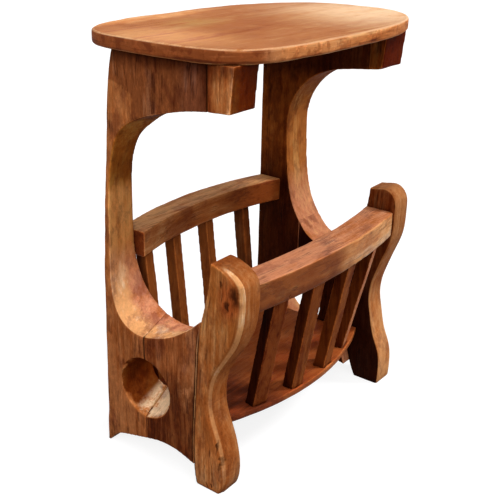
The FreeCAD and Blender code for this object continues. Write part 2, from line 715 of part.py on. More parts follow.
finish("table_top", top_body)
for side in panels:
    for piece, board in zip(("upright", "arm_block", "base_block"), boards[side]):
        finish(f"{side}_{piece}", board)
    finish(f"{side}_front_leg", legs[side])
front_rail_blank = doc.addObject("Part::MultiFuse", "front_rail_with_tenons")
front_rail_blank.Shapes = [front_rail, *front_tenons]
back_rail_blank = doc.addObject("Part::MultiFuse", "back_rail_with_tenons")
back_rail_blank.Shapes = [back_rail, *back_tenons]
finish("front_rail", front_rail_blank)
finish("back_rail", back_rail_blank)
finish("rack_floor", floor_body)
for name, blank in slats.items():
    finish(name, blank)
for kind, members in dowels.items():
    finish(f"{kind}_dowels", group(f"{kind}_dowel_set", members))
doc.recompute()

# Nothing is written unless every object of the document came out sound
for item in doc.Objects:
    if "Invalid" in item.State or "Error" in item.State:
        raise RuntimeError(f"{item.Label} did not recompute: {item.State}")
for node, item in nodes.items():
    shape = item.Shape
    expected = len(item.Links) if item.TypeId == "Part::Compound" else 1
    if shape.isNull() or not shape.isValid() or len(shape.Solids) != expected:
        raise RuntimeError(f"{node} is not sound: {len(shape.Solids)} solids, {expected} expected")

os.makedirs("parts", exist_ok=True)
for node, item in nodes.items():
    item.Shape.exportStep(f"parts/{node}.step")
    print(f"{node}: {len(item.Shape.Solids)} solids, {item.Shape.Volume:.0f} mm3")
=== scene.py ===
import math

import bpy
from mathutils import Matrix, Vector


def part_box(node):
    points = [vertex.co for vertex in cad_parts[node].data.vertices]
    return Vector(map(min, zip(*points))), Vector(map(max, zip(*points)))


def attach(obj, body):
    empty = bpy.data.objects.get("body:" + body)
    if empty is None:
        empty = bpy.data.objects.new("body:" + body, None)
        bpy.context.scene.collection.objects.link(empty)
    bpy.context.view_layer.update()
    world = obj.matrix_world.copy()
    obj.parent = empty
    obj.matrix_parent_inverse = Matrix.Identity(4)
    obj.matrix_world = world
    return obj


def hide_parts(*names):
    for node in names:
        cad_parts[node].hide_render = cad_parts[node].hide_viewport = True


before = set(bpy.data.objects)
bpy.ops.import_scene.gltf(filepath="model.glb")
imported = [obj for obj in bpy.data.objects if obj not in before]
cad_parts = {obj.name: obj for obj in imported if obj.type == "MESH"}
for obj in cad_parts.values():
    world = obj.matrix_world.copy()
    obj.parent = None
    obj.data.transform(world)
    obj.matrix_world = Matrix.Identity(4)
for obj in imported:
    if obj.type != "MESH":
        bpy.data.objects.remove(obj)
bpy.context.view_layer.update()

bl_info = {
    "name": "Rustic Magazine Table",
    "version": (1, 0, 0),
    "blender": (4, 5, 0),
    "location": "View3D > Sidebar > Magazine Table",
    "description": "Wears and oils the boards of a solid-wood magazine table, and sets it on a pale stage",
    "category": "Object",
}

BODY = "root"

# Directions, as seen from the front of the table
FRONT = (0, -1, 0)
REAR = (0, 1, 0)
LEFT = (-1, 0, 0)
RIGHT = (1, 0, 0)
UP = (0, 0, 1)

# The way that a board's grain runs, and the turn that brings it upright
GRAIN_AXIS = {"X": (1, 0, 0), "Z": (0, 0, 1)}
GRAIN_TURN = {"X": (0, -math.pi / 2, 0), "Z": (0, 0, 0)}

# Tones that multiply the wood's colour
END_GRAIN = (0.62, 0.5, 0.42)
OLD_OIL = (0.5, 0.4, 0.46)
SCUFFED = (1.7, 1.65, 1.65)
SCRATCHED = (0.5, 0.42, 0.4)
# The next tone darkens corners with painted shade and grime
CORNER_SHADE_AND_GRIME = (0.3, 0.22, 0.18)
CRACKED = (0.3, 0.22, 0.2)

# Sizes of the finish, in metres
EDGE_WANDER = 0.02
GRAIN_WANDER = 0.06
# The next reach is that of the ambient occlusion that paints shade and grime in corners
CORNER_SHADE_REACH = 0.022
RELIEF_DEPTH = 0.001
BOARD_SHIFT = 0.13

# Relief of the finish: how strongly it shows, and the heights of its layers as shares of its depth
RELIEF_STRENGTH = 0.6
PORE_RELIEF = -0.6
SAW_RELIEF = 2.2
CRACK_RELIEF = -1.2

# Where the first shade of a ramp sits, and how far the last one is from it
RAMP_START = 0.06
RAMP_LENGTH = 0.88

# Hand hole of the left panel: its place, its reach and the way that its floor faces
HOLE_CENTRE = (-0.2, 0.028, 0.118)
HOLE_REACH = (0.06, 0.052, 0.052)
HOLE_FLOOR = (0, 0.35, 0.94)

# Rear edge of the left leg: its height, rear end and depth in metres, and its line in shares of them
LEG_HEIGHT = 0.339
LEG_REAR = 0.061
LEG_DEPTH = 0.077
LEG_REAR_LINE = (
    (0, 0.065), (0.103, 0), (0.295, 0.013), (0.531, 0.065), (0.693, 0.117), (0.826, 0.247), (1, 0.364),
)

# Where the leg's seam ends, and the lengths over which the seams fade, in metres
LEG_SEAM_TOP = 0.25
LEG_SEAM_FADE = 0.03
GLUE_LINE_FADE = 0.004

# Dark cracks and knots on the left leg: place along Y, height, and reach along Y and up
LEG_SPOTS = (
    (-0.127, 0.303, 0.009, 0.02),
    (-0.106, 0.315, 0.004, 0.01),
    (-0.115, 0.288, 0.004, 0.012),
    (-0.101, 0.08, 0.003, 0.022),
    (-0.108, 0.052, 0.004, 0.02),
    (-0.084, 0.008, 0.002, 0.01),
    (-0.092, 0.008, 0.002, 0.008),
)
LEG_SPOT_DEPTH = 0.012

# Evening of the meshes, the angles of rubbed and hollow places, and the trim of the slab
MERGE_DISTANCE = 0.00002
CLEAN_ANGLE = math.radians(101)
DIRT_ANGLE = math.radians(79)
SLAB_TRIM_START = -0.13
SLAB_TRIM_SHARE = 0.885

# Stage
PHOTO_SENSOR = 36.0
FLOOR_SIZE = 40
FLOOR_PARTS = 8
FLOOR_GREY = (0.22, 0.22, 0.22, 1)
WHITE = (1, 1, 1, 1)
KEY_SOURCE = (0.45, -0.5, 0.74)
KEY_SPREAD = 12
TOP_SOURCE = (-0.5, -0.3, 0.81)
TOP_SPREAD = 90


def tint(hex_text):
    """A colour as a painter would note it, turned into the linear values that shaders use."""
    parts = [int(hex_text[start:start + 2], 16) / 255 for start in (0, 2, 4)]
    return tuple(part / 12.92 if part <= 0.04045 else ((part + 0.055) / 1.055) ** 2.4 for part in parts)


def colour_property(name, description, hex_text):
    return bpy.props.FloatVectorProperty(
        name=name, description=description, subtype="COLOR", size=3, min=0, max=1,
        default=tint(hex_text))


def length_property(name, description, metres):
    return bpy.props.FloatProperty(
        name=name, description=description, unit="LENGTH", subtype="DISTANCE", min=0, default=metres)


def angle_property(name, description, degrees):
    return bpy.props.FloatProperty(
        name=name, description=description, subtype="ANGLE", default=math.radians(degrees))


class WoodColours(bpy.types.PropertyGroup):
    """Tones of the oiled wood, from the darkest to the lightest, and a few that stand apart."""
    ink: colour_property("Ink", "Seams, checks and the hearts of knots", "1C0803")
    umber: colour_property("Umber", "Darkest streaks", "5E250B")
    brown: colour_property("Brown", "Dark streaks", "8E4319")
    chestnut: colour_property("Chestnut", "Main tone of the side boards", "B5642E")
    orange: colour_property("Orange", "Main tone of the slab and rails", "D0834A")
    golden: colour_property("Golden", "Light streaks", "E4A66C")
    pale: colour_property("Pale", "Freshly sawn curves and pared edges", "F8D2A8")
    red: colour_property("Red", "Rack floor and the wood round a knot", "95401C")
    rose: colour_property("Rose", "Pinkish heartwood", "D08A68")
    olive: colour_property("Olive", "Greenish patch on the slab", "B08A48")

    def named(self, names):
        """Some of the tones, in the order in which they are named."""
        return [getattr(self, name) for name in names.split()]


class WearSizes(bpy.types.PropertyGroup):
    """How the boards are worn."""
    board_mesh: length_property("Board mesh", "Mesh size of the slab, side boards and rack floor", 0.002)
    stick_mesh: length_property("Stick mesh", "Mesh size of the legs, rails and slats", 0.0016)
    plane_ripple: length_property("Plane ripple", "Depth of the ripple that hand planing leaves", 0.0012)
    ripple_length: length_property("Ripple length", "Length of that ripple", 0.045)


class StageSettings(bpy.types.PropertyGroup):
    """Camera, light and floor."""
    camera_place: bpy.props.FloatVectorProperty(
        name="Camera place", description="Where the camera stands", subtype="TRANSLATION", unit="LENGTH",
        size=3, default=(-0.9776, -0.7042, 0.7575))
    heading: angle_property("Heading", "Turn of the view from straight back to the right", 53.537)
    pitch: angle_property("Pitch", "How far the view looks down", 22.333)
    roll: angle_property("Roll", "Tilt of the camera about its view", 1.4)
    lens: bpy.props.FloatProperty(
        name="Lens", description="Focal length in millimetres", min=1, default=62.25)
    key_strength: bpy.props.FloatProperty(
        name="Key light", description="Strength of the light from the front right", min=0, default=2.0)
    top_strength: bpy.props.FloatProperty(
        name="Top light", description="Strength of the wide soft light from above", min=0, default=3.1)
    sky: bpy.props.FloatProperty(
        name="Sky", description="Strength of the even light from all round", min=0, default=0.1)
    floor_glow: bpy.props.FloatProperty(
        name="Floor glow", description="Even white of the floor under its shading", subtype="FACTOR",
        min=0, max=1, default=0.85)


class WoodNodes:
    """Node tree of one wood finish, with short calls for the nodes that it needs."""

    def __init__(self, name):
        self.material = bpy.data.materials.new(name)
        self.material.use_nodes = True
        self.tree = self.material.node_tree
        self.tree.nodes.clear()
        self.place = self.add("ShaderNodeTexCoord").outputs["Object"]
        self.normal = self.add("ShaderNodeNewGeometry").outputs["Normal"]
        self.ragged = self.wandering(self.place, scale=(55, 55, 55), detail=3, reach=EDGE_WANDER)

    def add(self, kind, **settings):
        node = self.tree.nodes.new(kind)
        for name, value in settings.items():
            setattr(node, name, value)
        return node

    def feed(self, socket, value):
        """Links a socket, or sets it to a plain value."""
        if isinstance(value, bpy.types.NodeSocket):
            self.tree.links.new(value, socket)
        elif socket.type == "RGBA" and len(value) == 3:
            socket.default_value = (*value, 1)
        else:
            socket.default_value = value

    def feed_named(self, node, **values):
        """Feeds sockets by their names, with an underscore for each space."""
        for name, value in values.items():
            self.feed(node.inputs[name.replace("_", " ")], value)

    def math(self, operation, *values):
        node = self.add("ShaderNodeMath", operation=operation)
        for socket, value in zip(node.inputs, values):
            self.feed(socket, value)
        return node.outputs[0]

    def vector(self, operation, *values):
        node = self.add("ShaderNodeVectorMath", operation=operation)
        for socket, value in zip(node.inputs, values):
            self.feed(socket, value)
        return node.outputs["Value" if operation in ("LENGTH", "DOT_PRODUCT") else "Vector"]

    def mapped(self, place, turn=(0, 0, 0), scale=(1, 1, 1), move=(0, 0, 0)):
        node = self.add("ShaderNodeMapping")
        self.feed_named(node, Vector=place, Location=move, Rotation=turn, Scale=scale)
        return node.outputs[0]

    def noise(self, place, detail=3.0, roughness=0.55, output="Fac"):
        node = self.add("ShaderNodeTexNoise")
        self.feed_named(node, Vector=place, Scale=1.0, Detail=detail, Roughness=roughness)
        return node.outputs[output]

    def wandering(self, place, scale, detail, reach):
        """A place that noise shifts a little to all sides."""
        shift = self.noise(self.mapped(place, scale=scale), detail=detail, output="Color")
        shift = self.vector("SUBTRACT", shift, (0.5, 0.5, 0.5))
        return self.vector("MULTIPLY_ADD", shift, (reach, reach, reach), place)

    def grain(self, place, width, length, detail=3.0, roughness=0.55):
        """Noise in streaks of a width and a length along the local Z, from about -0.5 to 0.5."""
        scale = (1 / width, 1 / width, 1 / length)
        return self.math("SUBTRACT", self.noise(self.mapped(place, scale=scale), detail, roughness), 0.5)

    def step(self, value, low, high, start=0.0, end=1.0):
        """Eases a value from start to end as it passes from low to high."""
        node = self.add("ShaderNodeMapRange", interpolation_type="SMOOTHSTEP")
        self.feed_named(node, Value=value, From_Min=low, From_Max=high, To_Min=start, To_Max=end)
        return node.outputs["Result"]

    def mix(self, share, first, second, blend="MIX"):
        """A mix of two colours. The node's other sockets are for numbers and vectors."""
        node = self.add("ShaderNodeMix", data_type="RGBA", blend_type=blend)
        sockets = (node.inputs[0], node.inputs[6], node.inputs[7])
        for socket, value in zip(sockets, (share, first, second)):
            self.feed(socket, value)
        return node.outputs[2]

    def toned(self, share, colour, tone):
        """A colour that is multiplied by a tone, as far as a share says."""
        return self.mix(share, colour, self.mix(1.0, colour, tone, "MULTIPLY"))

    def both(self, *masks):
        """The product of masks."""
        result = masks[0]
        for mask in masks[1:]:
            result = self.math("MULTIPLY", result, mask)
        return result

    def facing(self, direction):
        """How squarely the surface faces a direction, from -1 to 1."""
        return self.vector("DOT_PRODUCT", self.normal, direction)

    def across(self, direction):
        """How squarely the surface faces a direction or the opposite one, from 0 to 1."""
        return self.math("ABSOLUTE", self.facing(direction))

    def along(self, direction, place=None):
        """How far the place lies along a direction, in metres."""
        return self.vector("DOT_PRODUCT", place or self.place, direction)

    def past(self, direction, start, end, place=None):
        """A mask that rises from 0 to 1 as the place along a direction passes from start to end."""
        return self.step(self.along(direction, place), start, end)

    def blob(self, centre, reach, soft):
        """A ragged, soft-edged oval patch round a point: 1 inside, 0 outside."""
        offset = self.vector("SUBTRACT", self.ragged, centre)
        distance = self.vector("LENGTH", self.vector("DIVIDE", offset, reach))
        return self.step(distance, 1 - soft, 1, start=1, end=0)

    def line(self, distance, width, core):
        """A line where a distance passes zero, solid over a share of its width."""
        return self.step(self.math("ABSOLUTE", distance), core * width, width, start=1, end=0)

    def shaded(self, value, shades):
        """Shades from the darkest to the lightest, as a value goes from 0 to 1."""
        ramp = self.add("ShaderNodeValToRGB")
        elements = ramp.color_ramp.elements
        while len(elements) < len(shades):
            elements.new(0.5)
        for index, shade in enumerate(shades):
            elements[index].position = RAMP_START + RAMP_LENGTH * index / (len(shades) - 1)
            elements[index].color = (*shade, 1)
        self.feed(ramp.inputs["Fac"], value)
        return ramp.outputs["Color"]

    def grained(self, shades, contrast=1.0):
        """The wood's streaks in shades that run from the darkest to the lightest."""
        return self.shaded(self.math("MULTIPLY_ADD", self.tone, contrast, (1 - contrast) / 2), shades)

    def curve(self, value, points):
        """A smooth curve through points from 0 to 1, read at a value."""
        node = self.add("ShaderNodeFloatCurve")
        line = node.mapping.curves[0]
        while len(line.points) < len(points):
            line.points.new(0.5, 0.5)
        for point, place in zip(line.points, points):
            point.location = place
        node.mapping.update()
        self.feed(node.inputs["Value"], value)
        return node.outputs["Value"]


def lay_grain(nodes, grain, heart, contrast):
    """Gives the nodes a board's own streaks, tone as their sum, and the mask of its sawn edges."""
    nodes.board = nodes.mapped(nodes.place, turn=GRAIN_TURN[grain], move=heart)
    nodes.flow = nodes.wandering(nodes.board, scale=(6, 6, 2.2), detail=2, reach=GRAIN_WANDER)
    nodes.fibre = nodes.grain(nodes.board, width=0.0021, length=0.06, detail=4, roughness=0.62)
    nodes.mottle = nodes.grain(nodes.board, width=0.02, length=0.03)
    fine_streaks = nodes.grain(nodes.board, width=0.0009, length=0.03, detail=2)
    nodes.pore = nodes.step(fine_streaks, 0.08, 0.2)
    wide_streaks = nodes.grain(nodes.flow, width=0.026, length=0.5)
    streaks = nodes.grain(nodes.flow, width=0.0075, length=0.16)
    patches = nodes.grain(nodes.board, width=0.1, length=0.19, detail=2)
    layers = (
        (wide_streaks, 1.2), (streaks, 1.05), (nodes.fibre, 0.7),
        (nodes.mottle, 0.85), (patches, 0.9), (nodes.pore, -0.16),
    )
    nodes.tone = 0.5
    for layer, amount in layers:
        nodes.tone = nodes.math("MULTIPLY_ADD", layer, amount * contrast, nodes.tone)
    nodes.sawn = nodes.step(nodes.across(RIGHT), 0.64, 0.84, start=1, end=0)


def sawn_edges(nodes, colour, tones, sawn_tones):
    """The colour with the sawn edges in their own tones, and the relief of the saw lines on them."""
    lines = nodes.noise(nodes.mapped(nodes.ragged, scale=(14, 170, 170)))
    groove = nodes.step(lines, 0.3, 0.55, start=0.45, end=0)
    cut_colour = nodes.mix(groove, nodes.grained(sawn_tones, contrast=0.8), tones[1])
    relief = nodes.both(nodes.sawn, nodes.math("SUBTRACT", lines, 0.5))
    return nodes.mix(nodes.sawn, colour, cut_colour), relief


def rubbed(nodes, colour, tones):
    """The colour with paler rubbed edges and darker hollows."""
    wear = nodes.add("ShaderNodeVertexColor", layer_name="wear").outputs["Color"]
    hollow_colour = [0.35 * part for part in tones[0]]
    edge = nodes.step(wear, 0.56, 0.95, end=0.12)
    hollow = nodes.step(wear, 0.2, 0.46, start=0.55, end=0)
    return nodes.mix(hollow, nodes.mix(edge, colour, tones[-1]), hollow_colour)


def stained(nodes, colour, stain):
    """The colour with blotches of old oil, and with fine scuffs and scratches, fewer on sawn edges."""
    blotch = nodes.noise(nodes.mapped(nodes.board, scale=(36, 36, 20)), detail=6, roughness=0.68)
    scuff = nodes.noise(nodes.mapped(nodes.board, scale=(220, 220, 80)), detail=5, roughness=0.75)
    rough = nodes.math("MULTIPLY_ADD", nodes.sawn, -0.35 * stain, 0.6 * stain)
    colour = nodes.toned(nodes.step(blotch, 0.48, 0.62, end=stain), colour, OLD_OIL)
    colour = nodes.toned(nodes.both(nodes.step(scuff, 0.5, 0.62), rough), colour, SCUFFED)
    return nodes.toned(nodes.both(nodes.step(scuff, 0.46, 0.36), rough), colour, SCRATCHED)


def with_corner_shade_and_grime(nodes, colour, spared_from_corner_shade):
    """The colour darkened in its corners by ambient occlusion, as painted shade and grime, apart from one
    place left unshaded.
    """
    corner = nodes.add("ShaderNodeAmbientOcclusion", samples=6)
    nodes.feed(corner.inputs["Distance"], CORNER_SHADE_REACH)
    shade_and_grime = nodes.step(corner.outputs["AO"], 0.35, 0.85, start=0.75, end=0)
    if spared_from_corner_shade:
        shade_and_grime = nodes.both(shade_and_grime, nodes.math("SUBTRACT", 1.0, spared_from_corner_shade(nodes)))
    return nodes.toned(shade_and_grime, colour, CORNER_SHADE_AND_GRIME)


def drying_cracks(nodes, grain, checks):
    """Where fine cracks run along the grain, as dark as checks says."""
    streaks = nodes.grain(nodes.flow, width=0.014, length=0.34, detail=4)
    crack = nodes.step(nodes.math("ABSOLUTE", streaks), 0.003, 0.024, start=1, end=0)
    lengthwise = nodes.step(nodes.across(GRAIN_AXIS[grain]), 0.2, 0.45, start=1, end=0)
    here_and_there = nodes.step(nodes.mottle, -0.06, 0.1)
    return nodes.both(crack, here_and_there, lengthwise, checks)


def oiled_wood(
        name, grain, heart, tones, sawn_tones=None, contrast=1.0, checks=0.0, stain=0.0, gloss=0.3,
        marks=(), spared_from_corner_shade=None):
    """Solid wood with streaks along the grain, blotches, pores, worn edges and painted shade in its
    corners.

    The streaks run through the board, so they meet at its edges. heart shifts them, so that boards
    differ. tones and sawn_tones run from the darkest to the lightest; sawn_tones colour the edges of a
    board whose faces look along X. checks is how dark the drying cracks are, and stain how strong the
    wine-coloured blotches of old oil are. marks are functions that add a board's own marks to its
    colour, and the last argument is a place that is spared the painted shade and grime in the corners.
    """
    nodes = WoodNodes(name)
    lay_grain(nodes, grain, heart, contrast)
    colour = nodes.grained(tones)
    saw = 0.0
    if sawn_tones:
        colour, saw = sawn_edges(nodes, colour, tones, sawn_tones)
    colour = nodes.toned(nodes.step(nodes.across(GRAIN_AXIS[grain]), 0.72, 0.95), colour, END_GRAIN)
    colour = rubbed(nodes, colour, tones)
    for mark in marks:
        colour = mark(nodes, colour)
    if stain:
        colour = stained(nodes, colour, stain)
    # Painted shade and grime in the corners, from ambient occlusion
    colour = with_corner_shade_and_grime(nodes, colour, spared_from_corner_shade)
    crack = drying_cracks(nodes, grain, checks)
    if sawn_tones:
        crack = nodes.both(crack, nodes.math("MULTIPLY_ADD", nodes.sawn, -0.85, 1.0))
    colour = nodes.toned(crack, colour, CRACKED)

    relief = nodes.fibre
    for layer, height in ((nodes.pore, PORE_RELIEF), (saw, SAW_RELIEF), (crack, CRACK_RELIEF)):
        relief = nodes.math("MULTIPLY_ADD", layer, height, relief)
    bump = nodes.add("ShaderNodeBump")
    nodes.feed_named(bump, Strength=RELIEF_STRENGTH, Distance=RELIEF_DEPTH, Height=relief)
    shader = nodes.add("ShaderNodeBsdfPrincipled")
    nodes.feed_named(
        shader, Base_Color=colour, Roughness=nodes.math("MULTIPLY_ADD", nodes.fibre, -0.2, 0.6),
        Specular_IOR_Level=gloss, Normal=bump.outputs["Normal"])
    output = nodes.add("ShaderNodeOutputMaterial")
    nodes.feed(output.inputs["Surface"], shader.outputs["BSDF"])
    return nodes.material


# Places on the wood, as functions that give a mask
def turned_to(direction, low=0.65, high=0.85):
    """Where the surface faces a direction."""
    return lambda nodes: nodes.step(nodes.facing(direction), low, high)


def beyond(direction, start, end):
    """Where the wood lies past a point along a direction, with a ragged edge."""
    return lambda nodes: nodes.past(direction, start, end, nodes.ragged)


def inside(centre, reach, soft=0.7):
    """Inside an oval patch."""
    return lambda nodes: nodes.blob(centre, reach, soft)


def scuffs(size, low, high):
    """In small ragged patches, as where rough handling has scuffed the oil."""
    scale = (1 / size, 1 / size, 1 / size)
    def mask(nodes):
        patches = nodes.noise(nodes.mapped(nodes.place, scale=scale), detail=5)
        return nodes.step(patches, low, high)
    return mask


def sawn_face(nodes):
    """On the faces that are sawn across the board."""
    return nodes.sawn


def in_left_hole(nodes):
    """Inside the hand hole of the left panel."""
    return nodes.both(nodes.sawn, nodes.blob(HOLE_CENTRE, HOLE_REACH, soft=0.1))


def pared_floor(nodes):
    """On the floor of the left hole, which was pared with a gouge and is spared the painted corner shade
    and grime.
    """
    return nodes.both(in_left_hole(nodes), nodes.step(nodes.facing(HOLE_FLOOR), 0.5, 0.75))


# Marks on the wood, as functions that change a colour
def shown(shades, share, *places, contrast=1.0):
    """The wood shows other shades, by a share, where all the places meet."""
    def paint(nodes, base):
        where = nodes.both(*(place(nodes) for place in places), share)
        return nodes.mix(where, base, nodes.grained(shades, contrast))
    return paint


def tinged(tone, *places):
    """The wood is darkened or lightened by a tone where all the places meet."""
    def paint(nodes, base):
        where = nodes.both(*(place(nodes) for place in places))
        return nodes.toned(where, base, tone)
    return paint


def edge_banded(shades, share, bottom, top, *places):
    """The wood of a board's edge shows level streaks, darkest at the bottom of the board."""
    def paint(nodes, base):
        level = nodes.math("DIVIDE", nodes.math("SUBTRACT", nodes.along(UP), bottom), top - bottom)
        streaks = nodes.noise(nodes.mapped(nodes.place, scale=(16, 16, 170)), detail=5, roughness=0.65)
        tone = 0.5
        for layer, amount in ((streaks, 1.9), (level, 0.6)):
            tone = nodes.math("MULTIPLY_ADD", nodes.math("SUBTRACT", layer, 0.5), amount, tone)
        where = nodes.both(*(place(nodes) for place in places), share)
        return nodes.mix(where, base, nodes.shaded(tone, shades))
    return paint


def glue_line(colour, position, low, high, share, width):
    """A line along the seam of two boards that meet at a place along Y, between two heights."""
    def paint(nodes, base):
        distance = nodes.math("SUBTRACT", nodes.along(REAR), position)
        above = nodes.past(UP, low - GLUE_LINE_FADE, low)
        below = nodes.past(UP, high + GLUE_LINE_FADE, high)
        line = nodes.line(distance, width, core=0.25)
        return nodes.mix(nodes.both(line, nodes.both(above, below, share)), base, colour)
    return paint


def leg_seam(colour, width, share):
    """The dark seam along the left leg's curved rear edge, on the leg and on the block behind it."""
    def paint(nodes, base):
        level = nodes.math("DIVIDE", nodes.along(UP), LEG_HEIGHT)
        forward = nodes.math("MULTIPLY_ADD", nodes.curve(level, LEG_REAR_LINE), LEG_DEPTH, LEG_REAR)
        distance = nodes.math("SUBTRACT", nodes.along(FRONT), forward)
        below = nodes.past(UP, LEG_SEAM_TOP, LEG_SEAM_TOP - LEG_SEAM_FADE)
        outside = nodes.step(nodes.facing(LEFT), 0.3, 0.6)
        line = nodes.line(distance, width, core=0.3)
        return nodes.mix(nodes.both(line, below, outside, share), base, colour)
    return paint


def apply_modifier(piece, kind, **settings):
    """Adds a modifier to the active piece, sets it and applies it."""
    bpy.ops.object.modifier_add(type=kind)
    modifier = piece.modifiers[-1]
    for name, value in settings.items():
        setattr(modifier, name, value)
    bpy.ops.object.modifier_apply(modifier=modifier.name)


def plane_texture(length):
    """The uneven surface that a hand plane leaves, made once for all boards."""
    texture = bpy.data.textures.get("plane_marks") or bpy.data.textures.new("plane_marks", "CLOUDS")
    texture.noise_scale = length
    texture.noise_depth = 1
    return texture


def worn_copy(node, material, mesh_size, softening):
    """Copies a node's mesh, evens it, softens its edges, planes it by hand and puts it in its place."""
    wear = bpy.context.scene.table_wear
    piece = bpy.data.objects.new(f"worn_{node}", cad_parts[node].data.copy())
    bpy.context.scene.collection.objects.link(piece)
    bpy.ops.object.select_all(action="DESELECT")
    piece.select_set(True)
    bpy.context.view_layer.objects.active = piece
    bpy.ops.object.mode_set(mode="EDIT")
    bpy.ops.mesh.select_all(action="SELECT")
    bpy.ops.mesh.remove_doubles(threshold=MERGE_DISTANCE)
    bpy.ops.object.mode_set(mode="OBJECT")
    apply_modifier(piece, "REMESH", mode="VOXEL", voxel_size=mesh_size, use_smooth_shade=True)
    apply_modifier(piece, "SMOOTH", factor=0.5, iterations=softening)
    apply_modifier(
        piece, "DISPLACE", texture=plane_texture(wear.ripple_length), texture_coords="LOCAL",
        strength=wear.plane_ripple, mid_level=0.5)
    bpy.ops.geometry.color_attribute_add(
        name="wear", domain="POINT", data_type="FLOAT_COLOR", color=WHITE)
    bpy.ops.paint.vertex_color_dirt(
        blur_strength=1, blur_iterations=2, clean_angle=CLEAN_ANGLE, dirt_angle=DIRT_ANGLE,
        normalize=False)
    piece.data.materials.clear()
    piece.data.materials.append(material)
    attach(piece, BODY)
    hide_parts(node)
    return piece


class TABLE_OT_slab(bpy.types.Operator):
    """Wear the oval slab and oil it"""
    bl_idname = "magazine_table.slab"
    bl_label = "Slab"

    def execute(self, context):
        shades = context.scene.table_colours
        material = oiled_wood(
            "slab_wood", grain="X", heart=(0.24, 0.03, 0),
            tones=shades.named("chestnut orange orange golden"),
            contrast=1.3, stain=0.15, gloss=0.05, marks=self.marks(shades))
        slab = worn_copy("table_top", material, context.scene.table_wear.board_mesh, softening=3)
        self.trim_left_end(slab)
        return {"FINISHED"}

    def marks(self, shades):
        """Patches on the flat face, two of them paler with a painted sheen, streaks and scuffs on the
        edge, and a painted highlight on the upper rim.
        """
        bottom, top = (corner[2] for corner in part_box("table_top"))
        edge = self.edge_face
        green_patch = inside((-0.085, 0.055, top), (0.08, 0.05, 0.02), soft=0.9)
        rear_streak = inside((-0.1, 0.13, top), (0.2, 0.03, 0.02))
        # The rosy end and the pale end are paler wood with a painted sheen
        rosy_end_with_sheen = inside((-0.2, 0.0, top), (0.1, 0.12, 0.02), soft=0.9)
        pale_end_with_sheen = inside((0.2, -0.05, top), (0.24, 0.2, 0.03), soft=0.95)
        dark_middle = inside((0.02, 0.0, top), (0.16, 0.13, 0.02), soft=0.9)
        left_of_middle = inside((-0.11, -0.03, top), (0.12, 0.09, 0.02), soft=0.9)
        flat_marks = (
            shown(shades.named("chestnut olive olive"), 0.4, green_patch),
            shown(shades.named("orange golden pale"), 0.75, rear_streak),
            shown(shades.named("rose golden golden"), 0.6, rosy_end_with_sheen),
            shown(shades.named("golden pale pale"), 0.75, pale_end_with_sheen, contrast=0.7),
            tinged((0.85, 0.72, 0.55), dark_middle),
            tinged((0.9, 0.82, 0.7), left_of_middle),
        )
        edge_bands = (
            ("umber brown brown chestnut", 0.95, beyond(LEFT, 0.15, 0.2)),
            ("brown orange orange golden", 0.9, beyond(RIGHT, -0.2, -0.15)),
            ("umber chestnut orange golden", 0.8, beyond(RIGHT, -0.06, 0.04)),
        )
        bands = [
            edge_banded(shades.named(names), share, bottom, top, edge, part)
            for names, share, part in edge_bands
        ]
        edge_marks = (
            tinged((1.0, 1.15, 1.5), edge, beyond(LEFT, 0.15, 0.19)),
            tinged((0.72, 0.62, 0.58), edge, scuffs(0.016, 0.5, 0.6)),
            tinged((1.25, 1.25, 1.3), edge, scuffs(0.009, 0.54, 0.64)),
            # A painted highlight along the upper rim
            shown(shades.named("golden pale pale"), 0.3, self.highlight_rim),
        )
        return (*flat_marks, *bands, *edge_marks)

    @staticmethod
    def trim_left_end(slab):
        """Draws in the slab's left end, which hangs less far over its panel than the right one does."""
        for vertex in slab.data.vertices:
            vertex.select = vertex.co.x < SLAB_TRIM_START
        bpy.ops.object.mode_set(mode="EDIT")
        bpy.ops.transform.resize(value=(SLAB_TRIM_SHARE, 1, 1), center_override=(SLAB_TRIM_START, 0, 0))
        bpy.ops.object.mode_set(mode="OBJECT")

    @staticmethod
    def edge_face(nodes):
        """On the slab's edge, not on its flat faces."""
        return nodes.step(nodes.across(UP), 0.45, 0.75, start=1, end=0)

    @staticmethod
    def highlight_rim(nodes):
        """On the rounded upper edge, where a highlight is painted."""
        turn = nodes.facing(UP)
        return nodes.both(nodes.step(turn, 0.4, 0.65), nodes.step(turn, 0.9, 0.985, start=1, end=0))


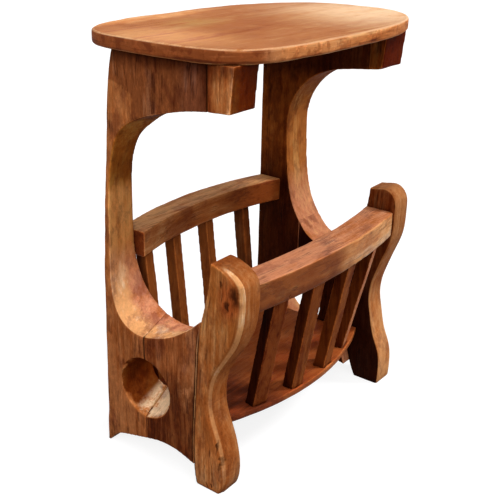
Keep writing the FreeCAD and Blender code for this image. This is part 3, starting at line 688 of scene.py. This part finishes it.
class TABLE_OT_side_boards(bpy.types.Operator):
    """Wear the uprights and their glued-on blocks, and oil them"""
    bl_idname = "magazine_table.side_boards"
    bl_label = "Side boards"

    def execute(self, context):
        shades = context.scene.table_colours
        mesh_size = context.scene.table_wear.board_mesh
        sawn_tones = shades.named("brown chestnut orange golden")
        tones = {
            "upright": shades.named("brown chestnut chestnut orange"),
            "arm_block": shades.named("chestnut orange golden pale"),
            "base_block": shades.named("umber brown chestnut chestnut"),
        }
        marks = {"left": self.left_marks(shades), "right": self.right_marks(shades)}
        for side, heart_x in (("left", 0.3), ("right", -0.27)):
            for number, board in enumerate(tones):
                # The pared floor of the left hole is spared the painted shade and grime in the corners
                material = oiled_wood(
                    f"{side}_{board}_wood", grain="Z", heart=(heart_x, BOARD_SHIFT * number, 0),
                    tones=tones[board], sawn_tones=sawn_tones,
                    contrast=1.2, checks=0.8, stain=0.75, gloss=0.015,
                    marks=marks[side][board] + self.seams_and_slab_shade(shades, side), spared_from_corner_shade=pared_floor)
                worn_copy(f"{side}_{board}", material, mesh_size, softening=2)
        return {"FINISHED"}

    @staticmethod
    def seams_and_slab_shade(shades, side):
        """The shade under the slab, and the glue lines between the upright and its two blocks."""
        base_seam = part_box(f"{side}_base_block")[1][1]
        arm_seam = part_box(f"{side}_arm_block")[1][1]
        share = 0.9 if side == "left" else 0.4
        under_slab = beyond(UP, 0.556, 0.576)
        return [
            # Painted shadow just under the slab
            tinged((0.5, 0.42, 0.4), turned_to(LEFT), under_slab),
            glue_line(shades.ink, base_seam, low=0.15, high=0.196, share=share, width=0.0022),
            glue_line(shades.umber, base_seam, low=0.0, high=0.07, share=0.5, width=0.0011),
            glue_line(shades.golden, base_seam, low=0.08, high=0.11, share=share, width=0.0022),
            glue_line(shades.ink, arm_seam, low=0.5, high=0.6, share=share, width=0.0018),
        ]

    @staticmethod
    def left_marks(shades):
        """Marks of the left boards: a fresh sweep, a pared hole with painted shade on its walls, a split
        corner and an arm end darkened as end grain and with painted shadow.
        """
        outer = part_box("left_upright")[0][0]
        arm_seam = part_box("left_arm_block")[1][1]
        outer_face = turned_to(LEFT)
        arm_end = turned_to(FRONT)
        cut_back = turned_to(FRONT, 0.25, 0.5)
        cut_middle = (cut_back, beyond(UP, 0.29, 0.32), beyond(UP, 0.41, 0.385))
        low_sweep = (sawn_face, beyond(UP, 0.33, 0.24), beyond(UP, 0.16, 0.19))
        sweep_rim = beyond(LEFT, -outer - 0.03, -outer - 0.018)
        arm_front = (beyond(FRONT, -arm_seam - 0.06, -arm_seam - 0.02), beyond(UP, 0.46, 0.5))
        beside_seam = (beyond(FRONT, -arm_seam - 0.014, -arm_seam), beyond(UP, 0.49, 0.55))
        split_corner = (
            beyond((0, 0.33, -0.94), -0.486, -0.482), beyond(REAR, 0.036, 0.042), beyond(UP, 0.4, 0.47))
        chips_by_leg = (inside((outer, -0.048, 0.15), (0.03, 0.02, 0.05)), scuffs(0.02, 0.42, 0.58))
        board = [
            shown(shades.named("chestnut orange golden"), 0.9, sawn_face, beyond(UP, 0.44, 0.37)),
            shown(shades.named("chestnut rose golden"), 0.9, *low_sweep, contrast=0.7),
            shown(shades.named("golden golden pale"), 0.9, *low_sweep, sweep_rim),
            tinged((0.82, 0.76, 0.7), *low_sweep, beyond(UP, 0.21, 0.19)),
            # Painted shade on the walls inside the hand hole
            tinged((0.27, 0.16, 0.07), in_left_hole),
            shown(shades.named("orange pale pale"), 0.95, pared_floor, contrast=1.2),
        ]
        upright = [
            tinged((0.98, 1.05, 1.45), outer_face, beyond(UP, 0.42, 0.48)),
            tinged((0.82, 0.82, 1.1), outer_face, *arm_front),
            tinged((0.4, 0.3, 0.25), outer_face, *beside_seam),
            shown(shades.named("chestnut orange orange"), 0.45, outer_face, beyond(UP, 0.5, 0.4)),
            shown(shades.named("chestnut orange golden"), 0.5, *split_corner),
            *board,
            shown(shades.named("orange golden golden"), 0.85, *cut_middle),
            tinged((0.93, 0.9, 0.5), cut_back, beyond(UP, 0.385, 0.41)),
            tinged((1.06, 0.98, 0.75), *cut_middle),
            tinged((0.84, 0.86, 1.0), outer_face, beyond(UP, 0.25, 0.2)),
        ]
        base_block = [
            shown(shades.named("brown chestnut orange"), 0.7, outer_face, beyond(UP, 0.13, 0.17)),
            shown(shades.named("chestnut orange orange"), 0.6, outer_face, *chips_by_leg),
            tinged((0.8, 0.84, 1.1), outer_face),
            leg_seam(shades.ink, width=0.0045, share=0.9),
            *board,
        ]
        arm_block = [
            tinged((0.5, 0.36, 0.3), outer_face, beyond(REAR, arm_seam - 0.014, arm_seam - 0.002)),
            tinged((1.18, 0.98, 0.82), outer_face),
            # The arm's front end is darkened as end grain and with painted shadow from the slab above
            tinged((0.48, 0.3, 0.13), arm_end),
            tinged((0.66, 0.42, 0.2), arm_end, beyond(RIGHT, outer + 0.004, outer + 0.02)),
        ]
        return {"upright": upright, "arm_block": arm_block, "base_block": base_block}

    @staticmethod
    def right_marks(shades):
        """Marks of the right boards: an inner face darkened with painted shade, deepest low down and under
        the slab, and a paler sawn edge, rosy at its foot.
        """
        inner_face = turned_to(LEFT)
        low_edge = (sawn_face, beyond(UP, 0.36, 0.28))
        board = [
            tinged((1.05, 0.98, 0.72), inner_face),
            # Painted shade on the inner face, deepest low down and just under the slab
            tinged((0.19, 0.14, 0.16), inner_face, beyond(UP, 0.4, 0.31)),
            tinged((0.25, 0.2, 0.25), inner_face, beyond(UP, 0.48, 0.52)),
            shown(shades.named("orange orange golden"), 0.55, sawn_face, beyond(UP, 0.5, 0.44)),
            tinged((1.06, 1.0, 0.72), sawn_face, beyond(UP, 0.3, 0.36)),
            shown(shades.named("chestnut rose golden"), 0.7, *low_edge, contrast=0.7),
        ]
        arm_block = [
            # Painted shade on the arm block's inner face and on its front end
            tinged((0.45, 0.28, 0.12), inner_face),
            tinged((0.34, 0.11, 0.02), turned_to(FRONT)),
        ]
        return {"upright": board, "arm_block": arm_block, "base_block": board}


class TABLE_OT_front_legs(bpy.types.Operator):
    """Wear the S-shaped front legs and oil them"""
    bl_idname = "magazine_table.front_legs"
    bl_label = "Front legs"

    def execute(self, context):
        shades = context.scene.table_colours
        mesh_size = context.scene.table_wear.stick_mesh
        sawn_tones = shades.named("brown chestnut orange golden")
        legs = {
            "left": (0.12, shades.named("chestnut chestnut orange golden"), self.left_marks(shades)),
            "right": (-0.27, shades.named("brown chestnut orange golden"), self.right_marks(shades)),
        }
        for side, (heart_x, tones, marks) in legs.items():
            material = oiled_wood(
                f"{side}_leg_wood", grain="Z", heart=(heart_x, 0.16, 0),
                tones=tones, sawn_tones=sawn_tones,
                contrast=1.3, checks=0.8, stain=0.65, gloss=0.015, marks=marks)
            worn_copy(f"{side}_front_leg", material, mesh_size, softening=2)
        return {"FINISHED"}

    def left_marks(self, shades):
        """Marks of the left leg: a pared edge, a knot, a few dark cracks and the seam behind it."""
        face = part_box("left_front_leg")[0][0]
        outer_face = turned_to(LEFT)
        knot = inside((face, -0.118, 0.298), (0.02, 0.024, 0.04))
        light_streak = inside((face, -0.078, 0.19), (0.01, 0.006, 0.09), soft=0.8)
        waist = (beyond(UP, 0.22, 0.18), beyond(UP, 0.08, 0.12))
        marks = [
            self.pared_edge(shades, face),
            shown(shades.named("umber red brown"), 0.75, knot),
            shown(shades.named("orange golden"), 0.35, light_streak),
            shown(shades.named("chestnut orange golden"), 0.3, outer_face, beyond(UP, 0.11, 0.05)),
            tinged((1.16, 1.2, 1.12), outer_face, beyond(UP, 0.21, 0.26)),
            tinged((0.97, 0.88, 0.78), outer_face, *waist),
        ]
        for place, height, wide, high in LEG_SPOTS:
            spot = inside((face, place, height), (LEG_SPOT_DEPTH, wide, high))
            marks.append(shown(shades.named("ink ink umber"), 0.85, spot))
        marks.append(leg_seam(shades.ink, width=0.0035, share=0.9))
        return marks

    @staticmethod
    def right_marks(shades):
        """Marks of the right leg: an inner face darkened with painted shade, darkest at its foot, and
        paler sawn edges.
        """
        inner_face = turned_to(LEFT)
        pale = shades.named("orange golden golden")
        return [
            # Painted shade on the inner face, deepest at the foot
            tinged((0.5, 0.36, 0.3), inner_face),
            tinged((0.16, 0.14, 0.2), inner_face, beyond(UP, 0.26, 0.14)),
            shown(pale, 0.2, sawn_face),
            shown(pale, 0.5, turned_to(FRONT), beyond(UP, 0.2, 0.12)),
        ]

    @staticmethod
    def pared_edge(shades, face):
        """The chamfer on the left leg's front outer edge shows paler wood, most of all at its top."""
        def paint(nodes, base):
            turn = nodes.facing(LEFT)
            band = nodes.both(nodes.step(turn, 0.3, 0.5), nodes.step(turn, 0.84, 0.94, start=1, end=0))
            inner = nodes.past(RIGHT, face + 0.0025, face + 0.0045)
            share = nodes.step(nodes.along(UP), 0.22, 0.31, start=0.38, end=0.95)
            pared = nodes.grained(shades.named("golden golden pale"))
            return nodes.mix(nodes.both(band, inner, share), base, pared)
        return paint


class TABLE_OT_rails(bpy.types.Operator):
    """Wear the two bowed rails and oil them"""
    bl_idname = "magazine_table.rails"
    bl_label = "Rails"

    def execute(self, context):
        shades = context.scene.table_colours
        rails = {
            "front_rail": (
                (0.2, 0.05, 0), shades.named("chestnut orange orange golden"),
                self.front_marks(shades)),
            "back_rail": (
                (0.4, 0.21, 0.3), shades.named("brown chestnut chestnut orange"),
                self.back_marks(shades)),
        }
        for rail, (heart, tones, marks) in rails.items():
            material = oiled_wood(
                f"{rail}_wood", grain="X", heart=heart, tones=tones,
                contrast=1.2, checks=0.6, stain=0.6, gloss=0.08, marks=marks)
            worn_copy(rail, material, context.scene.table_wear.stick_mesh, softening=2)
        return {"FINISHED"}

    @staticmethod
    def front_marks(shades):
        """A rosy, scuffed top, and a front darkened with painted shade at its left and foot and pale at
        its right.
        """
        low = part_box("front_rail")[0][2]
        top = turned_to(UP)
        face = turned_to(FRONT)
        whole_face = turned_to(FRONT, 0.5, 0.7)
        scuffed_part = (scuffs(0.004, 0.45, 0.65), beyond(RIGHT, -0.06, 0.02))
        return [
            # Painted shade on the front face at its left end
            tinged((0.6, 0.48, 0.38), face, beyond(LEFT, -0.06, 0.03)),
            shown(shades.named("chestnut rose rose"), 0.6, top),
            shown(shades.named("rose golden pale"), 0.35, top, *scuffed_part),
            # Painted shade along the foot of the front face
            tinged((0.55, 0.45, 0.4), face, beyond(UP, low + 0.014, low + 0.002)),
            shown(shades.named("orange golden pale"), 0.75, whole_face, beyond(RIGHT, -0.03, 0.05)),
        ]

    @staticmethod
    def back_marks(shades):
        """A top lightened with painted light, a front face that darkens to the right, and a dark left end.
        """
        face = turned_to(FRONT)
        return [
            # Painted light on the top, which lies under the slab
            shown(shades.named("chestnut golden golden"), 0.8, turned_to(UP)),
            shown(shades.named("chestnut orange golden"), 0.6, face, beyond(LEFT, -0.06, 0.0)),
            tinged((1.0, 0.82, 0.6), face, beyond(RIGHT, 0.03, 0.11)),
            tinged((0.85, 0.75, 0.7), turned_to(LEFT)),
        ]


class TABLE_OT_rack_floor(bpy.types.Operator):
    """Wear the rack's floor and oil it"""
    bl_idname = "magazine_table.rack_floor"
    bl_label = "Rack floor"

    def execute(self, context):
        shades = context.scene.table_colours
        marks = [
            shown(shades.named("umber umber red"), 0.95, beyond(LEFT, 0.065, 0.11)),
            tinged((1.22, 1.04, 0.92), turned_to(UP), beyond(RIGHT, -0.1, -0.06)),
        ]
        material = oiled_wood(
            "floor_wood", grain="X", heart=(-0.3, 0.02, 0), tones=shades.named("red chestnut orange"),
            checks=0.5, stain=0.2, gloss=0.08, marks=marks)
        worn_copy("rack_floor", material, context.scene.table_wear.board_mesh, softening=2)
        return {"FINISHED"}


class TABLE_OT_slats(bpy.types.Operator):
    """Wear the slats of both rows and oil them"""
    bl_idname = "magazine_table.slats"
    bl_label = "Slats"

    def execute(self, context):
        shades = context.scene.table_colours
        mesh_size = context.scene.table_wear.stick_mesh
        side_face = turned_to(LEFT)
        front_marks = [
            # Painted shade on the slats' left faces, deepest on the slats at the left
            tinged((0.5, 0.38, 0.28), side_face),
            tinged((0.35, 0.3, 0.35), side_face, beyond(LEFT, 0.02, 0.1)),
            tinged((0.88, 0.77, 0.77), turned_to(FRONT, 0.5, 0.7), beyond(LEFT, 0.05, 0.07)),
            shown(
                shades.named("chestnut rose golden"), 0.7, turned_to(FRONT, 0.75, 0.85),
                beyond(RIGHT, 0.08, 0.1)),
        ]
        back_marks = [tinged((0.28, 0.22, 0.2), beyond(RIGHT, 0.055, 0.085))]
        rows = {
            "front": (shades.named("umber brown chestnut chestnut"), front_marks),
            "back": (shades.named("brown chestnut chestnut orange"), back_marks),
        }
        for row, (tones, marks) in rows.items():
            material = oiled_wood(
                f"{row}_slat_wood", grain="Z", heart=(0.05, 0.3, 0), tones=tones,
                contrast=1.2, checks=0.5, stain=0.35, gloss=0.015, marks=marks)
            for number in range(1, 5):
                worn_copy(f"{row}_slat_{number}", material, mesh_size, softening=1)
        return {"FINISHED"}


class TABLE_OT_dowels(bpy.types.Operator):
    """Give the hidden dowels a plain wood"""
    bl_idname = "magazine_table.dowels"
    bl_label = "Dowels"

    def execute(self, context):
        shades = context.scene.table_colours
        material = oiled_wood(
            "dowel_wood", grain="Z", heart=(0.1, 0.1, 0), tones=shades.named("orange golden pale"))
        for node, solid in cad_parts.items():
            if node.endswith("_dowels"):
                solid.data.materials.clear()
                solid.data.materials.append(material)
        return {"FINISHED"}


def sky_lamp(name, source, spread, strength):
    """A sun lamp that shines from a direction, softened over a part of the sky."""
    lamp = bpy.data.lights.new(name, "SUN")
    lamp.angle = math.radians(spread)
    lamp.energy = strength
    holder = bpy.data.objects.new(name, lamp)
    holder.rotation_euler = Vector(source).to_track_quat("Z", "Y").to_euler()
    bpy.context.scene.collection.objects.link(holder)


class TABLE_OT_stage(bpy.types.Operator):
    """Set up the pale floor, the soft light and the camera"""
    bl_idname = "magazine_table.stage"
    bl_label = "Stage"

    def execute(self, context):
        stage = context.scene.table_stage
        self.lay_floor(stage)
        self.light(stage)
        self.place_camera(stage)
        context.scene.view_settings.view_transform = "Standard"
        return {"FINISHED"}

    @staticmethod
    def clear_view(tree):
        """1 for rays from the camera, mirrors and glass, which see white all round, and 0 for others."""
        path = tree.nodes.new("ShaderNodeLightPath")
        total = path.outputs["Is Camera Ray"]
        for name in ("Is Glossy Ray", "Is Transmission Ray"):
            larger = tree.nodes.new("ShaderNodeMath")
            larger.operation = "MAXIMUM"
            tree.links.new(total, larger.inputs[0])
            tree.links.new(path.outputs[name], larger.inputs[1])
            total = larger.outputs[0]
        return total

    def lay_floor(self, stage):
        """A floor that the camera sees as white with soft shadows, and that sends up little light."""
        bpy.ops.object.select_all(action="DESELECT")
        bpy.ops.mesh.primitive_grid_add(
            x_subdivisions=FLOOR_PARTS, y_subdivisions=FLOOR_PARTS, size=FLOOR_SIZE)
        floor = bpy.context.object
        floor.name = "pale_floor"
        material = bpy.data.materials.new("pale_floor")
        material.use_nodes = True
        tree = material.node_tree
        tree.nodes.clear()
        paint = tree.nodes.new("ShaderNodeBsdfDiffuse")
        paint.inputs["Color"].default_value = FLOOR_GREY
        glow = tree.nodes.new("ShaderNodeEmission")
        seen = tree.nodes.new("ShaderNodeMath")
        seen.operation = "MULTIPLY"
        seen.inputs[1].default_value = stage.floor_glow
        total = tree.nodes.new("ShaderNodeAddShader")
        output = tree.nodes.new("ShaderNodeOutputMaterial")
        tree.links.new(self.clear_view(tree), seen.inputs[0])
        tree.links.new(seen.outputs[0], glow.inputs["Strength"])
        tree.links.new(paint.outputs[0], total.inputs[0])
        tree.links.new(glow.outputs[0], total.inputs[1])
        tree.links.new(total.outputs[0], output.inputs["Surface"])
        floor.data.materials.append(material)

    def light(self, stage):
        """A faint sky that the camera sees as white, and two lamps."""
        world = bpy.data.worlds.new("even_sky")
        bpy.context.scene.world = world
        world.use_nodes = True
        tree = world.node_tree
        tree.nodes.clear()
        sky = tree.nodes.new("ShaderNodeBackground")
        sky.inputs["Strength"].default_value = stage.sky
        white = tree.nodes.new("ShaderNodeBackground")
        white.inputs["Color"].default_value = WHITE
        blend = tree.nodes.new("ShaderNodeMixShader")
        output = tree.nodes.new("ShaderNodeOutputWorld")
        tree.links.new(self.clear_view(tree), blend.inputs[0])
        tree.links.new(sky.outputs[0], blend.inputs[1])
        tree.links.new(white.outputs[0], blend.inputs[2])
        tree.links.new(blend.outputs[0], output.inputs["Surface"])
        sky_lamp("key_light", KEY_SOURCE, KEY_SPREAD, stage.key_strength)
        sky_lamp("top_light", TOP_SOURCE, TOP_SPREAD, stage.top_strength)

    def place_camera(self, stage):
        """The camera of the photograph, as fitted to the table's edges."""
        lens = bpy.data.cameras.new("photo_camera")
        lens.sensor_width = PHOTO_SENSOR
        lens.lens = stage.lens
        camera = bpy.data.objects.new("photo_camera", lens)
        heading = Matrix.Rotation(-stage.heading, 4, "Z")
        pitch = Matrix.Rotation(math.pi / 2 - stage.pitch, 4, "X")
        roll = Matrix.Rotation(stage.roll, 4, "Z")
        camera.matrix_world = Matrix.Translation(stage.camera_place) @ (heading @ pitch) @ roll
        bpy.context.scene.collection.objects.link(camera)
        bpy.context.scene.camera = camera


class TABLE_PT_panel(bpy.types.Panel):
    """The table's pieces and stage, in the order in which they are made"""
    bl_idname = "TABLE_PT_panel"
    bl_label = "Magazine Table"
    bl_space_type = "VIEW_3D"
    bl_region_type = "UI"
    bl_category = "Magazine Table"

    def draw(self, context):
        for operator in OPERATORS:
            self.layout.operator(operator.bl_idname)


OPERATORS = (
    TABLE_OT_slab, TABLE_OT_side_boards, TABLE_OT_front_legs, TABLE_OT_rails, TABLE_OT_rack_floor,
    TABLE_OT_slats, TABLE_OT_dowels, TABLE_OT_stage,
)
SETTINGS = {"table_colours": WoodColours, "table_wear": WearSizes, "table_stage": StageSettings}


def register():
    for kind in (*SETTINGS.values(), *OPERATORS, TABLE_PT_panel):
        bpy.utils.register_class(kind)
    for name, kind in SETTINGS.items():
        setattr(bpy.types.Scene, name, bpy.props.PointerProperty(type=kind))


def unregister():
    for name in SETTINGS:
        delattr(bpy.types.Scene, name)
    for kind in (TABLE_PT_panel, *reversed(OPERATORS), *reversed(SETTINGS.values())):
        bpy.utils.unregister_class(kind)


def main():
    register()
    bpy.ops.magazine_table.slab()
    bpy.ops.magazine_table.side_boards()
    bpy.ops.magazine_table.front_legs()
    bpy.ops.magazine_table.rails()
    bpy.ops.magazine_table.rack_floor()
    bpy.ops.magazine_table.slats()
    bpy.ops.magazine_table.dowels()
    bpy.ops.magazine_table.stage()


if __name__ == "__main__":
    main()
